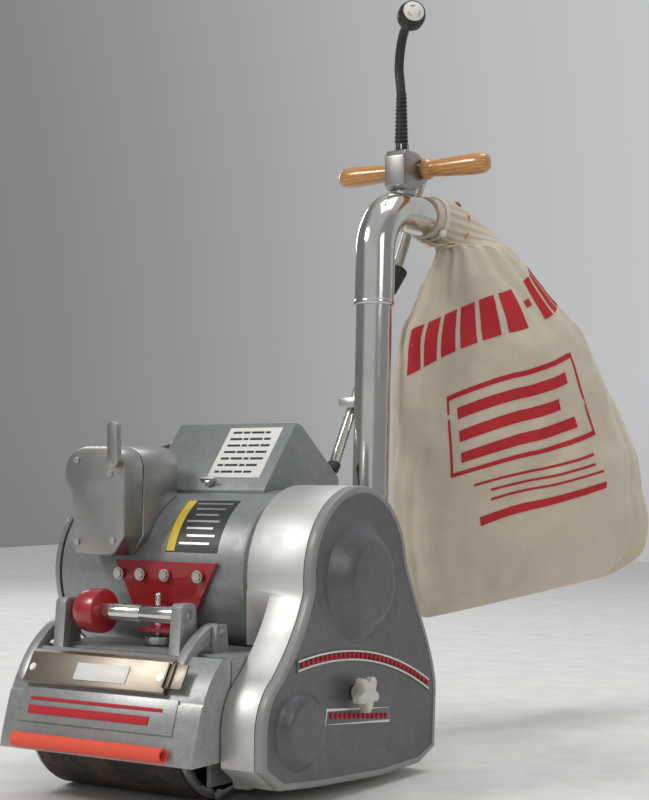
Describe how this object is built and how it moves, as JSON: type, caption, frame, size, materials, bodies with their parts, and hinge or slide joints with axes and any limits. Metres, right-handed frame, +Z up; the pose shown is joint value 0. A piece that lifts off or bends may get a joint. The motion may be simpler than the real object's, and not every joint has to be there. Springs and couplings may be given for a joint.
{
  "type": "floor drum sander",
  "caption": "Floor drum sander: belt-driven abrasive drum under a lifting hood, motor on top, belt guard at one side, dust pipe with T-handle and cloth bag.",
  "frame": {"origin": "middle of the machine's base, at floor level, without the free cord and plug", "axes": "+Z up, -Y towards the drum and its hood at the front, +X towards the belt guard"},
  "size_m": [0.451, 1.0186, 1.0366],
  "materials": {
    "hammered": "hammered grey enamel",
    "dark_hammered": "hammered dark grey enamel",
    "brushed": "brushed",
    "chrome": "polished",
    "steel": "bright zinc plate",
    "cast": "cast and polished",
    "red": "gloss red enamel",
    "bumper_red": "satin red rubber",
    "wood": "honey varnish",
    "canvas": "unbleached cotton canvas",
    "black": "matt black",
    "abrasive": "coarse abrasive paper",
    "stainless": "brushed stainless, warm tint",
    "cream": "cream moulding",
    "copper": "enamelled copper wire",
    "tyre": "solid grey-black tyre"
  },
  "bodies": {
    "frame": {"chassis": "hammered", "drum_bearing_left": "steel", "drum_bearing_right": "steel", "motor_shell": "hammered", "motor_end_bell": "hammered", "stator_winding": "copper", "motor_cradle": "dark_hammered", "tension_plate": "red", "tension_stud": "chrome", "terminal_box": "hammered", "switch_base": "cast", "switch_cover": "cast", "cable_fitting": "steel", "switch_cable": "black", "fan_housing": "hammered", "guard_band": "brushed", "dust_pipe": "chrome", "elbow": "chrome", "handle_block": "steel", "handle_bar": "steel", "grip_left": "wood", "grip_right": "wood", "conduit": "chrome", "conduit_collar": "black", "conduit_clamp": "steel", "conduit_bushing": "black", "supply_cable": "black", "strain_relief": "black", "power_cord": "black", "plug": "black", "dust_bag": "canvas", "hinge_pin_left": "steel", "hinge_pin_right": "steel", "axle": "steel", "drive_belt": "black", "fan_belt": "black"},
    "rotor": {"rotor_core": "steel", "motor_shaft": "steel", "motor_pulley": "cast"},
    "drum": {"drum_core": "cast", "abrasive_sleeve": "abrasive", "drum_shaft": "steel", "drum_pulley": "cast"},
    "paper_clamp": {"paper_clamp_rod": "steel"},
    "fan": {"fan_impeller": "cast", "fan_shaft": "steel", "fan_pulley": "cast"},
    "hood": {"drum_hood": "hammered", "bumper": "bumper_red", "paper_bender": "stainless"},
    "wrench": {"wrench_barrel": "chrome", "wrench_knob": "red"},
    "switch_lever": {"switch_lever": "cast"},
    "guard_cover": {"guard_cover": "dark_hammered"},
    "star_knob": {"star_knob": "cream"},
    "tension_nut": {"tension_nut": "steel"},
    "wing_nut": {"wing_nut": "steel"},
    "wheel_left": {"wheel_left": "tyre"},
    "wheel_right": {"wheel_right": "tyre"}
  },
  "joints": [
    {"name": "motor_spin", "type": "hinge", "parent": "frame", "child": "rotor", "pos_m": [-0.02154, -0.24641, 0.25], "axis": [1, 0, 0], "continuous": true},
    {"name": "drum_spin", "type": "hinge", "parent": "frame", "child": "drum", "pos_m": [-0.02154, -0.37241, 0.082], "axis": [1, 0, 0], "continuous": true},
    {"name": "fan_spin", "type": "hinge", "parent": "frame", "child": "fan", "pos_m": [-0.02154, -0.13741, 0.095], "axis": [1, 0, 0], "continuous": true},
    {"name": "paper_clamp_turn", "type": "hinge", "parent": "drum", "child": "paper_clamp", "pos_m": [-0.02154, -0.35189, 0.13838], "axis": [1, 0, 0], "range_deg": [-100, 0]},
    {"name": "hood_lift", "type": "hinge", "parent": "frame", "child": "hood", "pos_m": [-0.02154, -0.39241, 0.193], "axis": [-1, 0, 0], "range_deg": [0, 55]},
    {"name": "wrench_turn", "type": "hinge", "parent": "hood", "child": "wrench", "pos_m": [-0.02154, -0.41641, 0.212], "axis": [1, 0, 0], "continuous": true},
    {"name": "switch_throw", "type": "hinge", "parent": "frame", "child": "switch_lever", "pos_m": [-0.07354, -0.39241, 0.388], "axis": [0, 1, 0], "range_deg": [-80, 0]},
    {"name": "guard_cover_off", "type": "slide", "parent": "frame", "child": "guard_cover", "axis": [1, 0, 0], "range_m": [0, 0.08]},
    {"name": "star_knob_turn", "type": "hinge", "parent": "guard_cover", "child": "star_knob", "pos_m": [-0.02154, -0.26181, 0.1177], "axis": [1, 0, 0], "continuous": true},
    {"name": "tension_nut_turn", "type": "hinge", "parent": "frame", "child": "tension_nut", "pos_m": [-0.03054, -0.36641, 0.18], "axis": [0, 0, 1], "continuous": true},
    {"name": "wing_nut_turn", "type": "hinge", "parent": "frame", "child": "wing_nut", "pos_m": [-0.02754, -0.26901, 0.3596], "axis": [0, -0.7698, 0.6383], "continuous": true},
    {"name": "wheel_left_roll", "type": "hinge", "parent": "frame", "child": "wheel_left", "pos_m": [-0.11754, -0.03241, 0.045], "axis": [1, 0, 0], "continuous": true},
    {"name": "wheel_right_roll", "type": "hinge", "parent": "frame", "child": "wheel_right", "pos_m": [0.07446, -0.03241, 0.045], "axis": [1, 0, 0], "continuous": true}
  ],
  "couplings": [
    {"joint": "drum_spin", "follows": "motor_spin", "ratio": 0.71429},
    {"joint": "fan_spin", "follows": "motor_spin", "ratio": 1.5}
  ]
}
